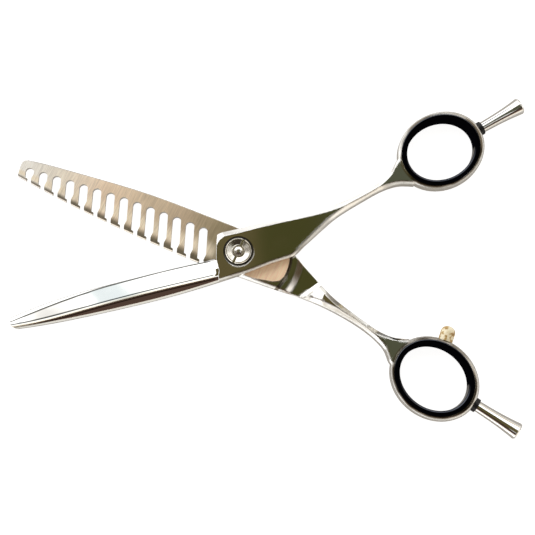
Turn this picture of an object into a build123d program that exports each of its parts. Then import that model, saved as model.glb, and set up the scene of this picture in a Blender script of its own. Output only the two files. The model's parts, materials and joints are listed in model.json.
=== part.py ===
from build123d import *
import math
import os

# Thinning shears lying flat and part open.  Millimetres, +Z up.
# The origin is on the pivot axis, at the level of the surface that the shears lie on.
# Each half is drawn in its own frame: pivot on the Z axis, blade towards -X, handle towards +X,
# riding face just above z = 0 and outer face towards +Z.  The plain half is turned to its heading.
# The comb half is turned over about X first, so its riding face meets the plain half's.

# ---- driving dimensions -------------------------------------------------
PLAIN_HEADING = 15.57        # degrees, the plain half's handle line at rest
COMB_HEADING = -21.70        # degrees, the comb half's handle line at rest
RIDE_GAP = 0.05              # each riding face stands this far from the mid plane
FLAT_HEIGHT = 2.6            # outer flat of the pivot area, above the mid plane
REST_HEIGHT = 2.75           # mid plane above the surface the shears lie on

PIVOT_BORE = 2.72            # radii around the pivot
BUSHING_BORE = 2.05
STUD_RADIUS = 2.0
NECK_RADIUS = 2.45
THREAD_RADIUS = 1.5
NUT_RADIUS = 3.95
NUT_RECESS_RADIUS = 4.28
STUD_HEAD_RADIUS = 4.1
GLIDE_RADIUS = 5.2

NUT_RECESS_FLOOR = 1.25      # heights above the mid plane around the pivot
BUSHING_TOP = 1.2
THRUST_WASHER = (1.28, 1.55)
NUT_BASE = 2.03
NUT_RIM = 3.3
THREAD_TOP = 3.0
DOME_TOP = 3.32
STUD_HEAD_TOP = -1.85        # the head is below, in the comb half
GLIDE_WASHER = (-0.32, -0.03)
NUT_SLOT_HEADING = 66.5      # degrees
NUT_SLOT_WIDTH = 0.76

RING_CENTRE = (68.4, 13.95)
RING_TILT = 14.5             # degrees, the ring's long axis
FINGER_HOLE = (10.8, 9.1)    # semi axes of the hole inside the rubber insert
INSERT_WALL = 1.45
INSERT_LIP = 0.35
INSERT_HALF = 2.75
RING_HALF = 2.4              # half the steel ring's height
RING_OUTER = (14.0, 11.95)   # semi axes of the steel ring
RING_OUTER_SHIFT = 0.2       # the outer ellipse stands this far towards the finger rest

PLAIN_REST_ANGLE = 14.7      # degrees, each finger rest's axis
COMB_REST_ANGLE = 11.0
REST_SEAT = 13.95            # distance of its seat from the ring centre
REST_LENGTH = 14.4
REST_WASHER_THICK = 1.25
REST_THREAD_RADIUS = 1.1
REST_THREAD_LENGTH = 2.7
BOSS_RADIUS = 2.0
SEAT_RADIUS = 2.3
BOSS_START = 10.5

BUMPER_ANGLE = -93.0         # degrees, the bumper's axis on the comb half's ring
BUMPER_SEAT = 11.75
STEM_RADIUS = 0.9
STEM_START = 10.9
STEM_DEPTH = 2.4             # how far the stem stands in the bumper
BUMPER_HEIGHT = 4.7
BUMPER_RADIUS = 2.2

TOOTH_SLOTS = 14
SLOT_PITCH = 4.37
SLOT_LEAN = 18.5             # degrees from square to the blade
SLOT_HALF = 1.32
THROAT_HALF = 0.64

LAND_RADIUS = 15.65          # outer edge of the half-moon riding face
RELIEF_DEPTH = 0.9
SKIRT_DEPTH = 0.2            # beside the half-moon
STEP_POINT = (25.1, 3.29)    # the cross step behind the relief
STEP_HEADING = 31.8          # degrees, square to the step
STEP_SLOPE = 1.55
BEVEL_SLOPE = 0.85
CREST = 0.08                 # width of the crest where the handle's two bevels meet
RIDGE_BAND = 0.75            # narrow facet along the plain blade's ridge
SPINE_BAND = 0.55            # and along its spine
CUT_HEIGHT = 20.0            # size of cutting blocks
FAR = 200.0
EXACT_FIT = 0.02             # radial clearance of a pressed or seated piece


# ---- outlines along X in the half's own frame ---------------------------
HANDLE_UPPER = [(-12, 7.95), (-5, 7.35), (2.3, 6.9), (8.6, 6.65), (15, 6.35), (21, 5.97), (27.5, 5.95),
                (34, 6.5), (40.7, 7.5), (46, 8.9), (50, 10.55), (52.4, 12.2), (54.2, 14.3), (57.5, 15.6)]
HANDLE_LOWER = [(-12, -7.3), (-5, -7.1), (2, -6.85), (8.2, -6.2), (14, -5.98), (15.8, -5.85), (17, -5.3),
                (18.4, -4.45), (22, -2.6), (25.6, -0.75), (29.3, 1.3), (33, 2.85), (40, 4.95), (46, 6.5),
                (50, 7.1), (53.5, 6.95), (57.5, 5.75)]
UPPER_BEVEL = [(-12, 1.7), (0, 1.5), (10, 1.3), (22, 1.25), (32, 1.6), (36, 1.65), (44, 1.4), (50, 1.05),
               (57.5, 0.75)]
LOWER_BEVEL = [(-12, 0.6), (10, 0.6), (17, 0.8), (22, 1.1), (34, 1.35), (44, 1.35), (50, 1.0), (57.5, 0.75)]
OUTER_FLAT = [(-12, FLAT_HEIGHT), (22, FLAT_HEIGHT), (34, 2.5), (46, 2.3), (57.5, 2.2)]
INNER_FLAT = [(-12, -0.3), (24.5, -0.3), (30, -1.8), (46, -2.15), (57.5, -2.2)]
STATIONS = [-12 + 1.93 * step for step in range(37)]
LAND_EDGE = [(2.5, 7.6), (5.85, 5.81), (12.93, 4.38), (14.7, 3.41), (15.52, 1.79), (15.65, 0)]
FLAT_CORNER = [(-5.46, 4.11), (-4.78, 4.88), (-2.99, 5.67)]
TANG_WALL = [(-3.9, 10.8), (-4.98, 6.94), (-7.1, -0.3), (-7.13, -1.6), (-7.2, -4.1), (-7.75, -5.5),
             (-8.4, -9)]

PLAIN_EDGE = [(-74, -1.2), (-71.4, -0.78), (-65, 0.05), (-55.7, 0.85), (-43, 1.04), (-30, 0.8), (-18, 0.45),
              (-8.3, -0.2), (0, -0.6)]
PLAIN_SPINE = [(-74, -4.3), (-68.2, -5.05), (-60.7, -5.9), (-51.6, -6.6), (-42.4, -7.1), (-33.3, -7.5),
               (-23.9, -7.68), (-14.6, -7.6), (-8, -7.35), (0, -6.95)]
PLAIN_RIDGE = [(-74, -3.65), (-66, -4.5), (-54, -4.8), (-44, -4.75), (-26, -5.05), (-10.7, -5.7), (0, -5.9)]
EDGE_BEVEL = [(-74, 1.15), (-66, 1.1), (-59, 0.95), (-48.5, 0.5), (-43, 0.2), (-37, 0.06), (0, 0.06)]
PLAIN_STATIONS = [-74, -71, -65, -55, -43, -30, -18, -8, 0]
COMB_TIPS = [(-74, 2.75), (-72.3, 3.03), (-57, 4.85), (-41.3, 6.15), (-25, 7.0), (-10, 7.42), (0, 7.1)]
COMB_SPINE = [(-74, -2.3), (-71.4, -2.98), (-64.4, -4.0), (-54.7, -5.0), (-45, -5.95), (-35.5, -6.7),
              (-25.6, -7.08), (-15.7, -7.15), (-8, -7.15), (0, -6.9)]
COMB_STATIONS = [-74, -70, -64, -55, -45, -34, -22, -10, 0]
SLOT_TOPS = [(-74, -0.5), (-69.8, -0.87), (-54, -2.15), (-39.3, -3.1), (-25, -3.4), (-13, -3.44), (-5, -3.4)]


def height_at(line, x):
    """The value at x of a smooth curve through a line's points."""
    if x <= line[0][0]:
        return line[0][1]
    if x >= line[-1][0]:
        return line[-1][1]
    i = max(k for k in range(len(line) - 1) if line[k][0] <= x)
    (x0, y0), (x1, y1) = line[i], line[i + 1]
    slope = (y1 - y0) / (x1 - x0)
    before = slope if i == 0 else (y1 - line[i - 1][1]) / (x1 - line[i - 1][0])
    after = slope if i + 2 >= len(line) else (line[i + 2][1] - y0) / (line[i + 2][0] - x0)
    t = (x - x0) / (x1 - x0)
    span = x1 - x0
    return ((2 * t**3 - 3 * t**2 + 1) * y0 + (t**3 - 2 * t**2 + t) * span * before
            + (3 * t**2 - 2 * t**3) * y1 + (t**3 - t**2) * span * after)


def section(x, points):
    """A closed face across X from (y, z) points."""
    corners = [Vector(x, y, z) for y, z in points]
    return make_face(Polyline(*corners, close=True))


def plan(points):
    return make_face(Polyline(*[Vector(x, y, 0) for x, y in points], close=True))


def slab(face, low, high):
    return Pos(0, 0, low) * extrude(face, high - low, dir=(0, 0, 1))


def round_bar(radius, low, high):
    return Pos(0, 0, low) * Cylinder(radius, high - low, align=(Align.CENTER, Align.CENTER, Align.MIN))


# ---- the handle, shared by both halves ----------------------------------
def handle_section(x):
    low = height_at(HANDLE_LOWER, x)
    high = height_at(HANDLE_UPPER, x)
    room = (high - low - CREST) / 2
    below = min(height_at(LOWER_BEVEL, x), room)
    above = min(height_at(UPPER_BEVEL, x), room)
    outer = height_at(OUTER_FLAT, x)
    inner = height_at(INNER_FLAT, x)
    return section(x, [
        (low, outer - BEVEL_SLOPE * below), (low + below, outer),
        (high - above, outer), (high, outer - BEVEL_SLOPE * above),
        (high, inner + BEVEL_SLOPE * above), (high - above, inner),
        (low + below, inner), (low, inner + BEVEL_SLOPE * below)])


def ellipse_bar(semi, centre, half):
    face = Pos(*centre) * Rot(0, 0, RING_TILT) * Ellipse(*semi).face()
    return slab(face, -half, half)


def along_angle(angle, distance, centre=RING_CENTRE):
    a = math.radians(angle)
    return (centre[0] + distance * math.cos(a), centre[1] + distance * math.sin(a))


def radial(angle, distance, shape):
    """Put a shape drawn on +Z on the ring's radius at an angle, its base at a distance."""
    x, y = along_angle(angle, distance)
    return Pos(x, y, 0) * Rot(0, 0, angle) * Rot(0, 90, 0) * shape


def steel_ring(rest_angle):
    outer_centre = along_angle(RING_TILT, RING_OUTER_SHIFT)
    ring = ellipse_bar(RING_OUTER, outer_centre, RING_HALF)
    ring = fillet(ring.edges(), 1.5)
    boss = radial(rest_angle, BOSS_START, round_bar(BOSS_RADIUS, 0, REST_SEAT - BOSS_START))
    seat = radial(rest_angle, REST_SEAT, round_bar(SEAT_RADIUS, 0, 4))
    return ring + boss - seat


def ring_bore():
    semi = (FINGER_HOLE[0] + INSERT_WALL, FINGER_HOLE[1] + INSERT_WALL)
    return ellipse_bar(semi, RING_CENTRE, CUT_HEIGHT)


def beside_step(profile):
    """A long bar from (distance from the cross step, height) points, along the step."""
    face = make_face(Plane.XZ * Polyline(*profile, close=True))
    return Pos(*STEP_POINT, 0) * Rot(0, 0, STEP_HEADING) * extrude(face, FAR, both=True)


def inner_relief():
    """Beyond the half-moon riding face the inner side steps down on arcs about the pivot."""
    profile = Polyline((LAND_RADIUS, -5), (LAND_RADIUS, 0.12), (16.4, 0.4), (18.1, 0.4), (20.0, RELIEF_DEPTH),
                       (60, RELIEF_DEPTH), (60, -5), close=True)
    ring = revolve(make_face(Plane.XZ * profile), Axis.Z)
    skirt = slab(plan(LAND_EDGE + [(20, 0), (20, 9)]), -5, SKIRT_DEPTH)
    arcs = ring & (Pos(FAR / 2, 0, 0) * Box(FAR, FAR, 2 * CUT_HEIGHT))
    reach = beside_step([(-FAR, -5), (0, -5), (0, RIDE_GAP), (-STEP_SLOPE, 1.02), (-FAR, 1.02)])
    return (arcs + skirt) & reach


def clear_of_other_half(shape):
    """Take off what the other half needs clear: below the riding face as far as the cross step."""
    swept = beside_step([(-FAR, -CUT_HEIGHT), (0, -CUT_HEIGHT), (0, RIDE_GAP), (-FAR, RIDE_GAP)])
    return shape - swept - inner_relief()


def tang_wall_cut():
    """Left of the tang: its end wall stands across the blade's heel."""
    return slab(plan(TANG_WALL + [(-FAR, -9), (-FAR, 10.8)]), -CUT_HEIGHT, CUT_HEIGHT)


def corner_bevel(start, end):
    """A cutter that slopes down from the outer flat, to the left of a line from start to end."""
    run = 8.0
    drop = FLAT_HEIGHT - BEVEL_SLOPE * run
    face = plan([(0, FLAT_HEIGHT), (run, drop), (run, CUT_HEIGHT), (0, CUT_HEIGHT)])
    bar = Rot(90, 0, 0) * extrude(face, 30, both=True, dir=(0, 0, 1))
    heading = math.degrees(math.atan2(end[1] - start[1], end[0] - start[0]))
    return Pos(*start, 0) * Rot(0, 0, heading + 90) * bar


def handle(rest_angle):
    """Tang, shank and finger ring with its seats, without the blade or the pivot hole."""
    shank = loft([handle_section(x) for x in STATIONS])
    shank = shank - tang_wall_cut()
    for start, end in zip(FLAT_CORNER, FLAT_CORNER[1:]):
        shank = shank - corner_bevel(start, end)
    forging = shank + steel_ring(rest_angle) - ring_bore()
    forging = clear_of_other_half(forging)
    thread_hole = radial(rest_angle, 9, round_bar(REST_THREAD_RADIUS + 0.05, 0, 8))
    return forging - thread_hole


# ---- the two blades -----------------------------------------------------
def plain_section(x):
    edge = height_at(PLAIN_EDGE, x)
    ridge = height_at(PLAIN_RIDGE, x)
    spine = height_at(PLAIN_SPINE, x)
    along = (x + 74) / 74    # 0 at the tip, 1 at the pivot
    bevel = height_at(EDGE_BEVEL, x)
    crown = 1.5 + 0.7 * along
    lip = 0.18               # the cutting edge's own narrow bevel
    shoulder = spine + SPINE_BAND
    turn_down = crown - 0.4 * (ridge - shoulder)
    return section(x, [
        (edge, RIDE_GAP), (edge - lip, 0.33), (edge - lip - bevel, 0.33 + 0.5 * bevel),
        (ridge + RIDGE_BAND, crown - 0.18), (ridge, crown),
        (shoulder, turn_down), (spine, turn_down - 0.85 * SPINE_BAND), (spine, RIDE_GAP)])


def plain_blade_body():
    blade = loft([plain_section(x) for x in PLAIN_STATIONS])
    tip_line = Polyline((-71.35, 12), (-71.35, -0.8), (-71.85, -2.5)) + Spline(
        (-71.85, -2.5), (-71.1, -4.2), (-67.2, -5.25), tangents=((-0.3, -1), (1, -0.13)))
    tip_line += Polyline((-67.2, -5.25), (-67.2, -14), (-90, -14), (-90, 12), (-71.35, 12))
    blade = blade - slab(make_face(tip_line.edges()), -5, 10)
    heel_gap = plan([(-8.3, 0.5), (-7.0, 0.5), (-7.2, -4.1), (-7.6, -5.5), (-9.0, -5.45), (-8.3, -4.5),
                     (-8.1, -2.9)])
    return blade - slab(heel_gap, 1.3, 10)


def comb_section(x):
    tips = height_at(COMB_TIPS, x)
    spine = height_at(COMB_SPINE, x)
    along = (x + 74) / 74
    crown = 1.4 + 0.8 * along
    return section(x, [
        (tips - 0.42, RIDE_GAP), (tips, 0.32), (tips, 0.7), (tips - 0.7, 0.95), (spine + 2.2, crown),
        (spine + 0.6, 0.7 * crown), (spine, 0.45 * crown), (spine, 0.25), (spine + 0.2, RIDE_GAP)])


def tooth_slot(index):
    """One keyhole slot: round top, straight walls, sloping shoulders and a narrow throat."""
    x = -69.8 + SLOT_PITCH * index
    y = height_at(SLOT_TOPS, x)
    lean = math.radians(SLOT_LEAN)
    length = 5.0
    for _ in range(12):      # the tips' line is curved, so the slot's length is found step by step
        length = (height_at(COMB_TIPS, x + length * math.sin(lean)) - y) / math.cos(lean)
    throat = length - 1.35
    outline = Polyline((-SLOT_HALF, SLOT_HALF), (-SLOT_HALF, throat - 0.35), (-THROAT_HALF, throat),
                       (-THROAT_HALF, length + 3), (THROAT_HALF, length + 3), (THROAT_HALF, throat),
                       (SLOT_HALF, throat - 1.6), (SLOT_HALF, SLOT_HALF))
    outline += ThreePointArc((SLOT_HALF, SLOT_HALF), (0, 0), (-SLOT_HALF, SLOT_HALF))
    face = make_face(outline.edges())
    return Pos(x, y, 0) * Rot(0, 0, -SLOT_LEAN) * slab(face, -5, 10)


def comb_blade_body():
    blade = loft([comb_section(x) for x in COMB_STATIONS])
    tip_line = Polyline((-72.35, 14), (-72.35, 3.0), (-72.75, 0.0)) + Spline(
        (-72.75, 0.0), (-72.55, -2.0), (-70.0, -3.3), tangents=((-0.1, -1), (1, -0.15)))
    tip_line += Polyline((-70.0, -3.3), (-70.0, -14), (-90, -14), (-90, 14), (-72.35, 14))
    blade = blade - slab(make_face(tip_line.edges()), -5, 10)
    heel_notch = plan([(-9.4, 12), (-9.4, 6.4), (-8.6, 6.35), (-7.1, 5.1), (-6.0, 4.4), (-4.0, 12)])
    blade = blade - slab(heel_notch, -5, 10)
    for index in range(TOOTH_SLOTS):
        blade = blade - tooth_slot(index)
    return blade


# ---- the two forgings ---------------------------------------------------
def plain_half():
    half = handle(PLAIN_REST_ANGLE) + plain_blade_body()
    half = half - round_bar(PIVOT_BORE, -5, 5) - round_bar(NUT_RECESS_RADIUS, NUT_RECESS_FLOOR, 5)
    return half


def neck(clearance):
    """The stud's neck with two flats, which keep it from turning in the comb half."""
    bar = round_bar(NECK_RADIUS + clearance, 0, -STUD_HEAD_TOP - RIDE_GAP)
    return bar & Box(2 * (STUD_RADIUS + clearance), 8, 10)


def comb_half():
    half = handle(COMB_REST_ANGLE) + comb_blade_body()
    for height in (-0.05, 0, 0.3):
        half = half - Pos(0, 0, height) * neck(EXACT_FIT)
    half = half - round_bar(STUD_HEAD_RADIUS + 0.05, -STUD_HEAD_TOP, 5)
    half = half - round_bar(GLIDE_RADIUS + 0.05, -1, -GLIDE_WASHER[0])
    seat = radial(BUMPER_ANGLE, BUMPER_SEAT, round_bar(BUMPER_RADIUS + EXACT_FIT, 0, 6))
    hole = radial(BUMPER_ANGLE, 9, round_bar(STEM_RADIUS + EXACT_FIT, 0, 4))
    return half - seat - hole


# ---- pivot pieces, drawn about the mid plane with the plain half above ---
def turned(points):
    """A piece of revolution about Z from (radius, height) points."""
    return revolve(make_face(Plane.XZ * Polyline(*points, close=True)), Axis.Z)


def pivot_stud():
    back = -REST_HEIGHT
    head = turned([(0, back), (3.7, back), (STUD_HEAD_RADIUS, back + 0.3), (STUD_HEAD_RADIUS, STUD_HEAD_TOP),
                   (0, STUD_HEAD_TOP)])
    flats = Rot(0, 0, COMB_HEADING) * Pos(0, 0, STUD_HEAD_TOP) * neck(0)
    shank = round_bar(STUD_RADIUS, -0.1, BUSHING_TOP)
    thread = round_bar(THREAD_RADIUS, BUSHING_TOP - 0.1, THREAD_TOP)
    dome_radius = 2.9
    cap = Pos(0, 0, DOME_TOP - dome_radius) * Sphere(dome_radius)
    dome = cap & round_bar(1.25, THREAD_TOP - 0.1, 4)
    return head + flats + shank + thread + dome


def tension_nut():
    bore = THREAD_RADIUS + 0.03
    nut = turned([(bore, NUT_BASE), (3.85, NUT_BASE), (NUT_RADIUS, NUT_BASE + 0.12),
                  (NUT_RADIUS, NUT_RIM - 0.24), (3.72, NUT_RIM), (3.5, NUT_RIM), (2.0, NUT_RIM - 0.38),
                  (1.85, THREAD_TOP), (bore, THREAD_TOP)])
    driver_slot = Pos(0, 0, NUT_RIM - 0.25) * Box(12, NUT_SLOT_WIDTH, 1.1)
    return nut - Rot(0, 0, NUT_SLOT_HEADING) * driver_slot


def spring_washer():
    """A coned washer between the thrust washer and the nut."""
    return turned([(1.65, 1.76), (3.6, 1.58), (3.6, 1.8), (1.65, 1.98)])


def flat_washer(inner, outer, low, high):
    return round_bar(outer, low, high) - round_bar(inner, low - 1, high + 1)


def pivot_bushing():
    return flat_washer(BUSHING_BORE, PIVOT_BORE - EXACT_FIT, RIDE_GAP, BUSHING_TOP)


# ---- pieces on a finger ring, in the half's frame -----------------------
def ring_insert():
    wall = INSERT_WALL - EXACT_FIT
    core = ellipse_bar((FINGER_HOLE[0] + wall, FINGER_HOLE[1] + wall), RING_CENTRE, INSERT_HALF)
    lip = wall + INSERT_LIP
    flange = ellipse_bar((FINGER_HOLE[0] + lip, FINGER_HOLE[1] + lip), RING_CENTRE, INSERT_HALF)
    flange = fillet(flange.edges(), 0.3)
    middle = Pos(*RING_CENTRE, 0) * Box(60, 60, 2 * (RING_HALF + EXACT_FIT))
    hole = ellipse_bar(FINGER_HOLE, RING_CENTRE, 10)
    body = (flange - middle) + (core & middle) - hole
    faces_edges = [e for e in body.edges() if abs(abs(e.center().Z) - INSERT_HALF) < 0.01]
    rims = ShapeList(faces_edges).sort_by(SortBy.LENGTH)[:2]
    body = fillet(rims, 0.7)
    groove_semi = (FINGER_HOLE[0] + 1.15, FINGER_HOLE[1] + 1.15)
    fine_semi = (FINGER_HOLE[0] + 1.0, FINGER_HOLE[1] + 1.0)
    groove = ellipse_bar(groove_semi, RING_CENTRE, 4) - ellipse_bar(fine_semi, RING_CENTRE, 5)
    floor = Pos(*RING_CENTRE, 0) * Box(60, 60, 2 * (INSERT_HALF - 0.15))
    return body - (groove - floor)


def finger_rest(angle):
    flare = Spline((1.68, 0), (1.78, 3.5), (2.05, 8.5), (2.62, REST_LENGTH - 0.75))
    end = Polyline((2.62, REST_LENGTH - 0.75), (2.35, REST_LENGTH - 0.3), (0, REST_LENGTH),
                   (0, -REST_THREAD_LENGTH), (REST_THREAD_RADIUS, -REST_THREAD_LENGTH),
                   (REST_THREAD_RADIUS, 0), (1.68, 0))
    shape = revolve(make_face(Plane.XZ * (flare + end)), Axis.Z)
    return radial(angle, REST_SEAT + REST_WASHER_THICK, shape)


def rest_washer(angle):
    shape = flat_washer(REST_THREAD_RADIUS + 0.05, 2.15, 0, REST_WASHER_THICK)
    return radial(angle, REST_SEAT, shape)


def bumper_cap():
    shell = turned([(0, 0), (BUMPER_RADIUS, 0), (BUMPER_RADIUS, BUMPER_HEIGHT), (0, BUMPER_HEIGHT)])
    shell = fillet(shell.edges().group_by(Axis.Z)[-1], 1.9)
    return radial(BUMPER_ANGLE, BUMPER_SEAT, shell - round_bar(STEM_RADIUS, -1, STEM_DEPTH))


def bumper_stem():
    return radial(BUMPER_ANGLE, STEM_START, round_bar(STEM_RADIUS, 0, BUMPER_SEAT + STEM_DEPTH - STEM_START))


# ---- placing ------------------------------------------------------------
def lift(shape):
    return Pos(0, 0, REST_HEIGHT) * shape


def on_plain_half(shape):
    return lift(Rot(0, 0, PLAIN_HEADING) * shape)


def on_comb_half(shape):
    return lift(Rot(0, 0, COMB_HEADING) * Rot(180, 0, 0) * shape)


PIECES = {
    "plain_blade": on_plain_half(plain_half()),
    "comb_blade": on_comb_half(comb_half()),
    "pivot_stud": lift(pivot_stud()),
    "pivot_bushing": lift(pivot_bushing()),
    "glide_washer": lift(flat_washer(NECK_RADIUS + 0.1, GLIDE_RADIUS, *GLIDE_WASHER)),
    "thrust_washer": lift(flat_washer(THREAD_RADIUS + 0.05, 3.9, *THRUST_WASHER)),
    "spring_washer": lift(spring_washer()),
    "tension_nut": lift(tension_nut()),
    "plain_ring_insert": on_plain_half(ring_insert()),
    "comb_ring_insert": on_comb_half(ring_insert()),
    "plain_finger_rest": on_plain_half(finger_rest(PLAIN_REST_ANGLE)),
    "comb_finger_rest": on_comb_half(finger_rest(COMB_REST_ANGLE)),
    "plain_rest_washer": on_plain_half(rest_washer(PLAIN_REST_ANGLE)),
    "comb_rest_washer": on_comb_half(rest_washer(COMB_REST_ANGLE)),
    "bumper_cap": on_comb_half(bumper_cap()),
    "bumper_stem": on_comb_half(bumper_stem()),
}

os.makedirs("parts", exist_ok=True)
for name, shape in PIECES.items():
    export_step(shape, f"parts/{name}.step")
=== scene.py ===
import json
import math

import bpy
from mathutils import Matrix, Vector

# Thinning shears lying part open on a pale floor.  Metres, in the frame of the CAD model.
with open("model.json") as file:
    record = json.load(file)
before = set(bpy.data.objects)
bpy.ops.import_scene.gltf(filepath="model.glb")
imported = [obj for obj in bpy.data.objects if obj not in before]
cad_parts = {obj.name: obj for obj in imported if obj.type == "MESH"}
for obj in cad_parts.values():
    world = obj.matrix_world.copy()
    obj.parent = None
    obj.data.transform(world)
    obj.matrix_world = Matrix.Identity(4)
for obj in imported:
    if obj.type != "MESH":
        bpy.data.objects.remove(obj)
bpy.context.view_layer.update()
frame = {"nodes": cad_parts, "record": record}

# ---- measures of the object that the looks depend on -----------------------
RIDE_LEVEL = 0.00275         # height of the plane between the two halves
PLAIN_HEADING = math.radians(15.57)    # how far each half is turned about the pivot
COMB_HEADING = math.radians(-21.70)
CAMERA_TILT = math.radians(10.0)
CAMERA_RANGE = 0.3496
CAMERA_AIM = Vector((0.00878, -0.00458, RIDE_LEVEL))
LENS_MM = 77.39
SENSOR_MM = 36.0
BLADE_LENGTH = 0.074         # from the pivot axis to the tips
SHANK_END = 0.057            # where the shank meets the ring
RING_CENTRE = (0.0684, 0.01395)
RING_TILT = math.radians(14.5)
INSERT_EDGE = (0.0126, 0.0109, 1.0)  # semi axes of the insert's outline in plan


# ---- node helpers -----------------------------------------------------------
class Graph:
    """Short ways to add and join shader nodes in one node tree."""

    def __init__(self, tree):
        self.tree = tree
        self.tree.nodes.clear()

    def add(self, kind, inputs=None, **settings):
        node = self.tree.nodes.new(kind)
        for key, value in settings.items():
            setattr(node, key, value)
        for key, value in (inputs or {}).items():
            self.put(node.inputs[key], value)
        return node

    def put(self, socket, value):
        if isinstance(value, bpy.types.NodeSocket):
            self.tree.links.new(value, socket)
        else:
            socket.default_value = value

    def math(self, operation, a, b=0.0, clamp=False):
        return self.add("ShaderNodeMath", {0: a, 1: b}, operation=operation, use_clamp=clamp).outputs[0]

    def step(self, value, low, high, out_low=0.0, out_high=1.0):
        """Smooth change from out_low to out_high as value goes from low to high."""
        inputs = {"Value": value, "From Min": low, "From Max": high, "To Min": out_low, "To Max": out_high}
        return self.add("ShaderNodeMapRange", inputs, interpolation_type="SMOOTHSTEP").outputs[0]

    def mix(self, factor, a, b):
        inputs = {0: factor, 6: a, 7: b}
        return self.add("ShaderNodeMix", inputs, data_type="RGBA").outputs[2]

    def blend(self, factor, a, b):
        inputs = {0: factor, 2: a, 3: b}
        return self.add("ShaderNodeMix", inputs, data_type="FLOAT").outputs[0]

    def noise(self, vector, scale, detail=3.0, rough=0.5):
        inputs = {"Vector": vector, "Scale": scale, "Detail": detail, "Roughness": rough}
        return self.add("ShaderNodeTexNoise", inputs).outputs["Fac"]

    def stretch(self, vector, rotation, scale):
        inputs = {"Vector": vector, "Rotation": (0, 0, rotation), "Scale": scale}
        return self.add("ShaderNodeMapping", inputs, vector_type="TEXTURE").outputs[0]

    def ramp(self, factor, stops):
        """A colour ramp from (position, colour) stops."""
        node = self.add("ShaderNodeValToRGB", {0: factor})
        points = node.color_ramp.elements
        while len(points) < len(stops):
            points.new(0.5)
        for point, (position, shade) in zip(points, stops):
            point.position = position
            point.color = shade
        return node.outputs[0]

    def curve(self, value, points):
        """A smooth curve through (x, y) points that lie between 0 and 1."""
        node = self.add("ShaderNodeFloatCurve", {"Value": value})
        line = node.mapping.curves[0].points
        while len(line) < len(points):
            line.new(0.5, 0.5)
        for point, place in zip(line, points):
            point.location = place
        node.mapping.update()
        return node.outputs[0]

    def axis(self, vector, name):
        return self.add("ShaderNodeSeparateXYZ", {0: vector}).outputs[name]

    def vector(self, operation, a, b):
        return self.add("ShaderNodeVectorMath", {0: a, 1: b}, operation=operation).outputs[0]

    def distance(self, place, start=(0.0, 0.0, 0.0)):
        return self.add("ShaderNodeVectorMath", {0: place, 1: start}, operation="DISTANCE").outputs["Value"]

    def flatten(self, place):
        """The same place at height 0."""
        return self.add("ShaderNodeMapping", {"Vector": place, "Scale": (1, 1, 0)}).outputs[0]

    def turned(self, place, heading):
        """The place as seen in axes that are turned by the heading."""
        return self.add("ShaderNodeMapping", {"Vector": place, "Rotation": (0, 0, -heading)}).outputs[0]

    def both(self, *masks):
        """The product of masks."""
        product = masks[0]
        for mask in masks[1:]:
            product = self.math("MULTIPLY", product, mask)
        return product

    def falling(self, value, low, high):
        """1 up to low, then smoothly down to 0 at high."""
        return self.step(value, low, high, 1.0, 0.0)

    def between(self, value, rise, fall):
        """1 between two smooth edges, each given as (where it starts, where it ends), and 0 beyond them."""
        return self.both(self.step(value, *rise), self.falling(value, *fall))

    def gap(self, a, b):
        """How far two values are apart."""
        return self.math("ABSOLUTE", self.math("SUBTRACT", a, b))

    def bump(self, height, strength, distance, normal=None):
        inputs = {"Height": height, "Strength": strength, "Distance": distance}
        if normal is not None:
            inputs["Normal"] = normal
        return self.add("ShaderNodeBump", inputs).outputs[0]


def grey(value):
    return (value, value, value, 1.0)


def colour(red, green, blue):
    return (red, green, blue, 1.0)


# ---- camera -------------------------------------------------------------------
camera_data = bpy.data.cameras.new("camera")
camera_data.lens = LENS_MM
camera_data.sensor_width = SENSOR_MM
camera_data.clip_start = 0.01
camera = bpy.data.objects.new("camera", camera_data)
camera.location = CAMERA_AIM + CAMERA_RANGE * Vector((0, -math.sin(CAMERA_TILT), math.cos(CAMERA_TILT)))
camera.rotation_euler = (CAMERA_TILT, 0, 0)
bpy.context.collection.objects.link(camera)
bpy.context.scene.camera = camera

# ---- world: a white studio with a dark strip overhead ---------------------------
# Directions are given by two angles from straight up: fore towards +Y and side towards +X.
STUDIO_LIGHT = 2.05
SKY_REACH = 120.0            # degrees that a ramp covers to each side of straight up
DRIFT = 0.16                 # how far the studio's edges waver
WHITE = grey(1.0)
NEAR_OLIVE = colour(0.062, 0.050, 0.021)
FAR_OLIVE = colour(0.0335, 0.0325, 0.0097)
PALE_OLIVE = colour(0.051, 0.054, 0.037)
FLANK_BROWN = colour(0.05, 0.036, 0.020)
CLOUD_BLUE = colour(0.33, 0.39, 0.41)
FRONT_SHADES = [
    (-97, grey(0.30)), (-90, colour(0.33, 0.31, 0.28)), (-85, colour(0.45, 0.44, 0.41)),
    (-62, colour(0.46, 0.45, 0.42)), (-55, colour(0.76, 0.70, 0.61)), (-49, colour(0.26, 0.18, 0.13)),
    (-44, colour(0.06, 0.034, 0.025)), (-22, colour(0.034, 0.024, 0.018)), (-14, colour(0.008, 0.007, 0.006)),
    (-6, NEAR_OLIVE), (26, NEAR_OLIVE), (34, WHITE), (57, WHITE), (61, grey(0.12)), (78, grey(0.12)),
    (84, WHITE)]
SIDE_SHADES = [
    (-97, grey(0.4)), (-88, WHITE), (-70, WHITE), (-64, colour(0.40, 0.37, 0.32)), (-56, WHITE), (34, WHITE),
    (44, colour(0.50, 0.43, 0.33)), (52, colour(0.14, 0.09, 0.05)), (60, colour(0.60, 0.55, 0.47)),
    (76, colour(0.62, 0.59, 0.54)), (84, colour(0.06, 0.054, 0.036)), (92, grey(0.45))]


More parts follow.
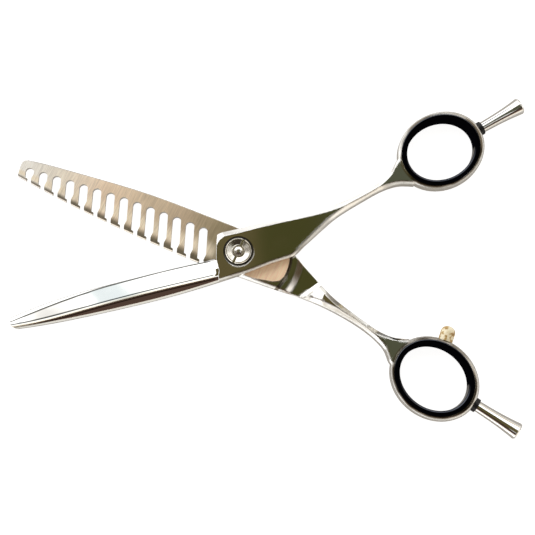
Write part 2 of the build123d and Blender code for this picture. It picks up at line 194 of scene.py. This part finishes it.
def sky_ramp(g, angle, shades):
    """A ramp over an angle in radians, from (degrees from straight up, colour) pairs."""
    turn = math.radians(SKY_REACH)
    place = g.add("ShaderNodeMapRange", {"Value": angle, "From Min": -turn, "From Max": turn}).outputs[0]
    return g.ramp(place, [((degrees + SKY_REACH) / (2 * SKY_REACH), shade) for degrees, shade in shades])


world = bpy.data.worlds.new("studio")
bpy.context.scene.world = world
world.use_nodes = True
g = Graph(world.node_tree)
ray = g.add("ShaderNodeTexCoord").outputs["Generated"]
drift = g.add("ShaderNodeTexNoise", {"Vector": ray, "Scale": 2.2, "Detail": 2.0}).outputs["Color"]
drift = g.vector("SUBTRACT", drift, (0.5, 0.5, 0.5))
drift = g.add("ShaderNodeVectorMath", {0: drift, "Scale": DRIFT}, operation="SCALE").outputs[0]
ray = g.vector("ADD", ray, drift)
axes = g.add("ShaderNodeSeparateXYZ", {0: ray}).outputs
side = g.math("ARCTAN2", axes["X"], axes["Z"])
fore = g.math("ARCTAN2", axes["Y"], axes["Z"])

# The strip's hue changes to the right, first sharply and then slowly.
olive = g.mix(g.step(side, 0.02, 0.14), FAR_OLIVE, PALE_OLIVE)
right = g.both(g.between(fore, (-0.12, -0.05), (0.45, 0.56)), g.step(side, -0.040, -0.015))
front = g.mix(right, sky_ramp(g, fore, FRONT_SHADES), olive)

# Soft clouds above the strip.
cloud = g.both(g.step(g.noise(ray, 5.0, 3.0), 0.50, 0.66), g.between(fore, (0.50, 0.62), (0.95, 1.15)))
front = g.mix(g.math("MULTIPLY", cloud, 0.75), front, CLOUD_BLUE)

# The front shades hold overhead and, on the near side, farther out.
inside = g.between(side, (-0.46, -0.40), (0.38, 0.46))
below = g.both(g.between(side, (-1.1, -0.8), (0.8, 1.1)), g.falling(fore, -0.24, -0.14))
light = g.mix(g.math("MAXIMUM", inside, below), sky_ramp(g, side, SIDE_SHADES), front)

# Brown flanks to the left and right of the strip.
away = g.math("ABSOLUTE", side)
flank = g.both(g.between(away, (0.42, 0.50), (0.92, 1.05)), g.between(fore, (-0.24, -0.14), (0.26, 0.36)))
light = g.mix(flank, light, FLANK_BROWN)

# The background itself is plain white.
seen = g.add("ShaderNodeLightPath").outputs["Is Camera Ray"]
light = g.mix(seen, light, WHITE)
sky = g.add("ShaderNodeBackground", {"Color": light, "Strength": STUDIO_LIGHT}).outputs[0]
g.add("ShaderNodeOutputWorld", {"Surface": sky})

# ---- floor ------------------------------------------------------------------------
FLOOR_HALF = 1.5
FLOOR_DROP = 0.00005         # below the object's lowest point
FLOOR_GLOW = grey(0.93)
NEAR_PAINTED_SHADE = colour(0.22, 0.20, 0.175)   # painted shade on the floor, seen only as mirrored by the steel, near the object
FAR_TONE = grey(1.2)                    # and beyond it, brighter than the floor's own glow
PAINTED_LIGHT_SPOT = (0.02, 0.085, 0.0)           # a painted light spot on the floor, mirrored by the plain half's upper bevel

floor_mesh = bpy.data.meshes.new("floor")
corners = [(x * FLOOR_HALF, y * FLOOR_HALF, 0) for x, y in ((-1, -1), (1, -1), (1, 1), (-1, 1))]
floor_mesh.from_pydata(corners, [], [(0, 1, 2, 3)])
floor = bpy.data.objects.new("floor", floor_mesh)
floor.location.z = -FLOOR_DROP
bpy.context.collection.objects.link(floor)
paper = bpy.data.materials.new("pale_floor")
paper.use_nodes = True
g = Graph(paper.node_tree)
where = g.add("ShaderNodeTexCoord").outputs["Object"]
# Painted reflection: as mirrored by the steel, the floor shows a painted shade near the object and a painted
# light spot.
tone = g.mix(g.step(g.distance(where), 0.09, 0.17), NEAR_PAINTED_SHADE, FAR_TONE)
tone = g.mix(g.falling(g.distance(where, PAINTED_LIGHT_SPOT), 0.035, 0.062), tone, FAR_TONE)
mirrored = g.add("ShaderNodeLightPath").outputs["Is Glossy Ray"]
glow = g.mix(mirrored, FLOOR_GLOW, tone)
sheet = {"Base Color": grey(0.35), "Roughness": 0.9, "Specular IOR Level": 0.0, "Emission Color": glow,
         "Emission Strength": 1.0}
shader = g.add("ShaderNodeBsdfPrincipled", sheet)
# From below the floor is clear, so that the object's underside can be seen.
under = g.add("ShaderNodeNewGeometry").outputs["Backfacing"]
clear = g.add("ShaderNodeBsdfTransparent")
surface = g.add("ShaderNodeMixShader", {0: under, 1: shader.outputs[0], 2: clear.outputs[0]})
g.add("ShaderNodeOutputMaterial", {"Surface": surface.outputs[0]})
floor_mesh.materials.append(paper)


# ---- materials -----------------------------------------------------------------------
def principled(name, build):
    """A new material whose Principled inputs come from build(graph, object coordinates)."""
    material = bpy.data.materials.new(name)
    material.use_nodes = True
    g = Graph(material.node_tree)
    where = g.add("ShaderNodeTexCoord").outputs["Object"]
    shader = g.add("ShaderNodeBsdfPrincipled", build(g, where))
    g.add("ShaderNodeOutputMaterial", {"Surface": shader.outputs[0]})
    return material


def fine_scratches(g, where, heading, lines, length):
    """Noise drawn out along one direction: so many lines per metre, and how long they are in metres."""
    return g.noise(g.stretch(where, heading, (1.0 / lines, length, length)), 1.0, 4.0, 0.6)


def from_axis(g, where):
    """Distance from the pivot axis."""
    return g.distance(g.flatten(where))


def along_blade(g, along):
    """0 at the blade's tip and 1 at the pivot."""
    span = {"Value": along, "From Min": -BLADE_LENGTH, "From Max": 0.0}
    return g.add("ShaderNodeMapRange", span).outputs[0]


# ---- polished steel
EDGE_ROUNDING = 0.0003       # radius of the polished steel's edges
SHANK_ROUNDING = 0.0011      # and of the shank's lower edge, which is rolled over
RING_ROUNDING = 0.0009       # and of the finger rings
CURVE_UNIT = 0.01            # metres for each unit of a curve's height
SHANK_MIDDLE = [(0, 0.1), (0.2, 0.27), (0.34, 0.57), (0.46, 0.87), (0.6, 1.0)]   # over tenths of a metre
MIDDLE_LIFT = 0.1            # added to keep the middle curve above 0
STEEL_LIGHT = colour(0.84, 0.83, 0.81)
STEEL_DARK = colour(0.76, 0.75, 0.72)
INSERT_SHADOW = colour(0.09, 0.07, 0.045)


def half_axes(g, where, heading, flip):
    """Place along and across one half; flip is -1 for the half that lies face down."""
    local = g.turned(where, heading)
    return local, g.axis(local, "X"), g.math("MULTIPLY", g.axis(local, "Y"), flip)


def handle_rounding(g, where, heading, flip):
    """Edge radius over one half: small, but large along the shank's lower side and round the ring."""
    local, along, across = half_axes(g, where, heading, flip)
    middle = g.curve(g.math("MULTIPLY", along, 10.0), SHANK_MIDDLE)
    middle = g.math("MULTIPLY", g.math("SUBTRACT", middle, MIDDLE_LIFT), CURVE_UNIT)
    offset = g.math("MULTIPLY", g.math("SUBTRACT", across, middle), flip)
    lower = g.falling(offset, -0.0006, 0.0002)
    shank = g.between(along, (-0.006, -0.003), (SHANK_END - 0.001, SHANK_END + 0.001))
    centre = (RING_CENTRE[0], RING_CENTRE[1] * flip, 0)
    ring = g.falling(g.distance(g.flatten(local), centre), 0.0145, 0.0155)
    radius = g.blend(g.both(lower, shank), EDGE_ROUNDING, SHANK_ROUNDING)
    return g.blend(ring, radius, RING_ROUNDING)


def polished(g, where, rounding=EDGE_ROUNDING):
    smudge = g.noise(where, 160.0, 4.0)
    wave = g.noise(where, 55.0, 1.0)
    hair = fine_scratches(g, where, 0.5, 9000.0, 0.004)
    rough = g.math("ADD", g.step(smudge, 0.3, 0.75, 0.03, 0.08), g.step(hair, 0.62, 0.8, 0.0, 0.05))
    rounded = g.add("ShaderNodeBevel", {"Radius": rounding}, samples=6).outputs[0]
    return {"Base Color": g.mix(smudge, STEEL_LIGHT, STEEL_DARK), "Metallic": 1.0, "Roughness": rough,
            "Normal": g.bump(wave, 0.25, 0.0002, rounded)}


def ring_shadow(g, where, heading, flip, shade):
    """The given colour, darkened in a broken line next to the finger ring's insert."""
    centre = (RING_CENTRE[0], RING_CENTRE[1] * flip, 0)
    ellipse = {"Vector": g.turned(where, heading), "Location": centre, "Rotation": (0, 0, RING_TILT * flip),
               "Scale": INSERT_EDGE}
    seat = g.add("ShaderNodeMapping", ellipse, vector_type="TEXTURE").outputs[0]
    line = g.between(g.distance(g.flatten(seat)), (0.8, 0.85), (1.035, 1.085))
    broken = g.step(g.noise(where, 110.0, 2.0), 0.35, 0.6, 0.35, 0.95)
    return g.mix(g.both(line, broken), shade, INSERT_SHADOW)


# ---- plain half.  Heights over the riding plane are in millimetres here.
BEVEL_HEIGHT = [(0, 0.905), (0.11, 0.88), (0.2, 0.805), (0.345, 0.58), (0.42, 0.43), (0.5, 0.37), (1, 0.37)]
CREST_HEIGHT = (1.5, 2.2)    # of the blade's ridge, at the tip and at the pivot
BAND_DROP = 0.20             # from the ridge to the upper edge of the narrow band beside it
# Colours along the plain blade: painted dark facet lines, grey near the cutting edge, and a painted cream
# band under the ridge.
PAINTED_FACET_LINE = colour(0.10, 0.10, 0.09)
EDGE_GREY = grey(0.25)
PAINTED_CREAM_BAND = colour(0.66, 0.60, 0.50)
# Painted shade of the gap round the nut.
JOINT_SHADE = grey(0.02)
JOINT_RISE = (0.00400, 0.00412)      # the joint line round the nut
JOINT_FALL = (0.00455, 0.00470)


def blade_lines(g, where, shade):
    """The given colour with painted reflections along the plain blade: dark lines at the bevel and beside the
    ridge and a cream band under the ridge, and grey near the cutting edge.
    """
    along = g.axis(g.turned(where, PLAIN_HEADING), "X")
    reach = along_blade(g, along)
    rise = g.math("MULTIPLY", g.math("SUBTRACT", g.axis(where, "Z"), RIDE_LEVEL), 1000.0)
    crest = g.math("ADD", g.math("MULTIPLY", reach, CREST_HEIGHT[1] - CREST_HEIGHT[0]), CREST_HEIGHT[0])
    below_crest = g.math("SUBTRACT", crest, rise)
    blade = g.falling(along, -0.0095, -0.0085)
    bevel_line = g.falling(g.gap(rise, g.curve(reach, BEVEL_HEIGHT)), 0.05, 0.10)
    band_line = g.falling(g.gap(below_crest, BAND_DROP), 0.035, 0.07)
    # A painted cream band under the ridge, grey near the cutting edge, and painted dark facet lines at the
    # bevel and beside the ridge.
    shade = g.mix(g.both(g.falling(below_crest, 0.08, 0.14), blade), shade, PAINTED_CREAM_BAND)
    shade = g.mix(g.both(g.falling(rise, 0.22, 0.30), blade), shade, EDGE_GREY)
    return g.mix(g.both(g.math("MAXIMUM", bevel_line, band_line), blade), shade, PAINTED_FACET_LINE)


def plain_polished(g, where):
    """Polished, with the blade's painted lines and a dark line round the tension nut, a painted shade of the
    gap between nut and seat.
    """
    inputs = polished(g, where, handle_rounding(g, where, PLAIN_HEADING, 1.0))
    tint = ring_shadow(g, where, PLAIN_HEADING, 1.0, inputs["Base Color"])
    tint = blade_lines(g, where, tint)
    # A dark line round the nut: painted shade of the gap between nut and seat.
    joint = g.between(from_axis(g, where), JOINT_RISE, JOINT_FALL)
    inputs["Base Color"] = g.mix(g.math("MULTIPLY", joint, 0.9), tint, JOINT_SHADE)
    return inputs


# ---- comb half.  The two curves run from the tip to the pivot.
SLOT_TOPS = [(0, 0.95), (0.27, 0.785), (0.47, 0.69), (0.66, 0.66), (1, 0.66)]
SLOT_TOPS_LIFT = 1.0         # added to keep that curve above 0
TOOTH_TIPS = [(0, 0.275), (0.23, 0.485), (0.44, 0.615), (0.66, 0.7), (1, 0.74)]
# The brushed face's tint, brighter towards the tip by painted light; painted reflections on the teeth: bright
# stems and dark heads.
BRUSHED_TINT_AND_PAINTED_LIGHT = [
    (0.05, colour(1.0, 0.98, 0.92)), (0.19, colour(1.0, 0.92, 0.78)), (0.375, colour(0.95, 0.76, 0.57)),
    (0.56, colour(0.74, 0.60, 0.43)), (0.74, colour(0.57, 0.45, 0.31)), (0.88, colour(0.37, 0.30, 0.18)),
    (1.0, colour(0.31, 0.245, 0.15))]
STEM_PAINTED_REFLECTION = colour(1.0, 0.88, 0.68)
HEAD_PAINTED_REFLECTION = colour(0.13, 0.11, 0.07)
LAND_PEACH = colour(1.0, 0.74, 0.52)
LEDGE_TAN = colour(0.62, 0.50, 0.38)
# A painted shadow along the step's foot.
FOOT_PAINTED_SHADOW = colour(0.14, 0.11, 0.07)
FOOT_RISE = (0.0154, 0.0156)         # radii of the arc-shaped step's foot
FOOT_FALL = (0.0164, 0.0167)
LEDGE_RISE = (0.0174, 0.0179)        # and of its ledge
LEDGE_FALL = (0.0202, 0.0208)
BRUSH_HEADING = math.radians(-4.0)


def step_tint_and_painted_shadow(g, where, shade):
    """The given colour on the arc-shaped step of the handle's inner side: a little tan on its ledge and a
    painted shadow along its foot.
    """
    radius = from_axis(g, where)
    inner = g.both(g.step(g.axis(where, "Z"), 0.0014, 0.0016), g.step(g.axis(where, "X"), 0.0, 0.002))
    ledge = g.both(g.between(radius, LEDGE_RISE, LEDGE_FALL), inner)
    foot = g.both(g.between(radius, FOOT_RISE, FOOT_FALL), inner)
    shade = g.mix(g.math("MULTIPLY", ledge, 0.3), shade, LEDGE_TAN)
    # Painted shadow along the foot of the step.
    return g.mix(g.math("MULTIPLY", foot, 0.9), shade, FOOT_PAINTED_SHADOW)


def brushed_tint_and_painted_reflections(g, where, local, along, across, brush):
    """Tan to cream along the blade, partly the brushed finish's tint and partly painted light brightening
    towards the tip, with painted reflections on the teeth, bright on the stems and dark on the heads, in fine
    streaks.
    """
    reach = along_blade(g, along)
    slot_top = g.math("SUBTRACT", g.curve(reach, SLOT_TOPS), SLOT_TOPS_LIFT)
    slot_top = g.math("MULTIPLY", slot_top, CURVE_UNIT)
    tips = g.math("MULTIPLY", g.curve(reach, TOOTH_TIPS), CURVE_UNIT)
    down = g.math("DIVIDE", g.math("SUBTRACT", across, slot_top), g.math("SUBTRACT", tips, slot_top))
    blade = g.falling(along, -0.009, -0.005)
    # Painted reflections on the teeth: bright on the stems, dark on the heads.
    stem = g.both(g.between(down, (0.22, 0.55), (0.62, 0.86)), blade)
    head = g.both(g.step(down, 0.70, 0.90), blade)
    shade = g.mix(g.math("MULTIPLY", stem, 0.85), g.ramp(reach, BRUSHED_TINT_AND_PAINTED_LIGHT), STEM_PAINTED_REFLECTION)
    shade = g.mix(g.step(along, 0.001, 0.005), shade, LAND_PEACH)
    shade = g.mix(g.math("MULTIPLY", head, 0.92), shade, HEAD_PAINTED_REFLECTION)
    broad = fine_scratches(g, local, BRUSH_HEADING, 1300.0, 0.012)
    patch = g.noise(where, 120.0, 2.0)
    streaks = g.math("ADD", g.step(brush, 0.3, 0.7, 0.86, 1.10), g.step(broad, 0.3, 0.7, -0.06, 0.06))
    streaks = g.math("ADD", streaks, g.step(patch, 0.3, 0.7, -0.06, 0.06))
    streaks = g.add("ShaderNodeCombineColor", {0: streaks, 1: streaks, 2: streaks}).outputs[0]
    product = {0: 1.0, 6: shade, 7: streaks}
    return g.add("ShaderNodeMix", product, data_type="RGBA", blend_type="MULTIPLY").outputs[2]


def comb_polished(g, where):
    """Polished like the other half, with the riding face and the teeth left brushed."""
    inputs = polished(g, where, handle_rounding(g, where, COMB_HEADING, -1.0))
    shade = ring_shadow(g, where, COMB_HEADING, -1.0, inputs["Base Color"])
    shade = step_tint_and_painted_shadow(g, where, shade)
    level = g.between(g.axis(where, "Z"), (RIDE_LEVEL - 0.00012, RIDE_LEVEL - 0.0001),
                      (RIDE_LEVEL, RIDE_LEVEL + 0.00002))
    facing = g.axis(g.add("ShaderNodeNewGeometry").outputs["True Normal"], "Z")
    brushed = g.both(level, g.step(facing, 0.9, 0.95))
    local, along, across = half_axes(g, where, COMB_HEADING, -1.0)
    brush = fine_scratches(g, local, BRUSH_HEADING, 4200.0, 0.005)
    normals = {0: brushed, 4: inputs["Normal"], 5: g.bump(brush, 0.35, 0.00004)}
    return {"Base Color": g.mix(brushed, shade, brushed_tint_and_painted_reflections(g, where, local, along, across, brush)),
            "Metallic": g.blend(brushed, 1.0, 0.08),
            "Roughness": g.blend(brushed, inputs["Roughness"], g.step(brush, 0.2, 0.8, 0.34, 0.46)),
            "Normal": g.add("ShaderNodeMix", normals, data_type="VECTOR").outputs[1]}


# ---- smaller pieces
REST_LEAN = (0.0, 0.15, 0.0)


def turned_steel(g, where):
    """Fine rings round the pivot axis."""
    rings = g.noise(g.add("ShaderNodeCombineXYZ", {0: from_axis(g, where)}).outputs[0], 9000.0, 3.0)
    smudge = g.noise(where, 300.0, 3.0)
    rounded = g.add("ShaderNodeBevel", {"Radius": 0.0001}, samples=4).outputs[0]
    return {"Base Color": g.mix(smudge, colour(0.86, 0.83, 0.77), colour(0.74, 0.70, 0.62)), "Metallic": 1.0,
            "Roughness": g.step(rings, 0.3, 0.7, 0.13, 0.24), "Normal": g.bump(rings, 0.25, 0.00001, rounded),
            "Anisotropic": 0.5}


def rest_polished(g, where):
    """Polished, with shading normals that lean a little towards +Y."""
    inputs = polished(g, where)
    lean = g.vector("ADD", inputs["Normal"], REST_LEAN)
    inputs["Normal"] = g.add("ShaderNodeVectorMath", {0: lean}, operation="NORMALIZE").outputs[0]
    return inputs


def glossy_black(g, where):
    """Black plastic, shiny only on its sides towards +Y: the other sides are kept from reflecting, a painted
    shade.
    """
    cloud = g.noise(where, 700.0, 4.0)
    fine = g.noise(where, 6000.0, 3.0)
    upward = g.axis(g.add("ShaderNodeNewGeometry").outputs["Normal"], "Y")
    return {"Base Color": g.mix(cloud, grey(0.001), colour(0.002, 0.002, 0.004)),
            "Roughness": g.step(cloud, 0.2, 0.8, 0.08, 0.14),
            # Painted shade: sides not facing +Y are kept from reflecting.
            "Specular IOR Level": g.step(upward, 0.02, 0.4, 0.0, 1.0),
            "Specular Tint": colour(0.75, 0.82, 1.0), "Normal": g.bump(fine, 0.12, 0.00001)}


def plain_metal(tint, dark, rough):
    def build(g, where):
        cloud = g.noise(where, 400.0, 4.0)
        fine = g.noise(where, 5000.0, 3.0)
        return {"Base Color": g.mix(cloud, tint, dark), "Metallic": 1.0,
                "Roughness": g.step(fine, 0.2, 0.8, rough * 0.8, rough * 1.25),
                "Normal": g.bump(fine, 0.1, 0.00001)}
    return build


def plastic(light, dark, rough, level):
    def build(g, where):
        cloud = g.noise(where, 700.0, 4.0)
        fine = g.noise(where, 6000.0, 3.0)
        return {"Base Color": g.mix(cloud, light, dark),
                "Roughness": g.step(cloud, 0.2, 0.8, rough * 0.8, rough * 1.3),
                "Specular IOR Level": level, "Normal": g.bump(fine, 0.12, 0.00001)}
    return build


def amber(g, where):
    """Cream plastic with brown clouds."""
    cloud = g.noise(where, 650.0, 3.0)
    fine = g.noise(where, 6000.0, 3.0)
    tint = g.ramp(cloud, [(0.0, colour(0.97, 0.92, 0.74)), (0.50, colour(0.93, 0.83, 0.58)),
                          (0.57, colour(0.52, 0.34, 0.12)), (0.68, colour(0.36, 0.21, 0.06))])
    return {"Base Color": tint, "Roughness": g.step(cloud, 0.2, 0.8, 0.14, 0.26), "Specular IOR Level": 0.6,
            "Normal": g.bump(fine, 0.12, 0.00001)}


BUILDERS = {
    "polished_steel": plain_polished,
    "comb_steel": comb_polished,
    "stud_steel": turned_steel,
    "nut_steel": turned_steel,
    "spring_steel": plain_metal(grey(0.55), grey(0.42), 0.3),
    "bronze_washer": plain_metal(colour(0.72, 0.55, 0.32), colour(0.6, 0.44, 0.24), 0.3),
    "white_nylon": plastic(grey(0.85), grey(0.75), 0.4, 0.5),
    "black_insert": glossy_black,
    "rest_steel": rest_polished,
    "black_washer": plastic(grey(0.004), grey(0.01), 0.35, 0.3),
    "cream_bumper": amber,
    "bumper_stem": plain_metal(colour(0.75, 0.6, 0.35), colour(0.5, 0.38, 0.2), 0.25),
}
MATERIALS = {name: principled(name, build) for name, build in BUILDERS.items()}
for part in frame["record"]["subparts"]:
    node = frame["nodes"][part["node"]]
    node.material_slots[0].material = MATERIALS[part["material_slot"]]

# ---- finish ----------------------------------------------------------------------------
bpy.context.scene.view_settings.view_transform = "Standard"
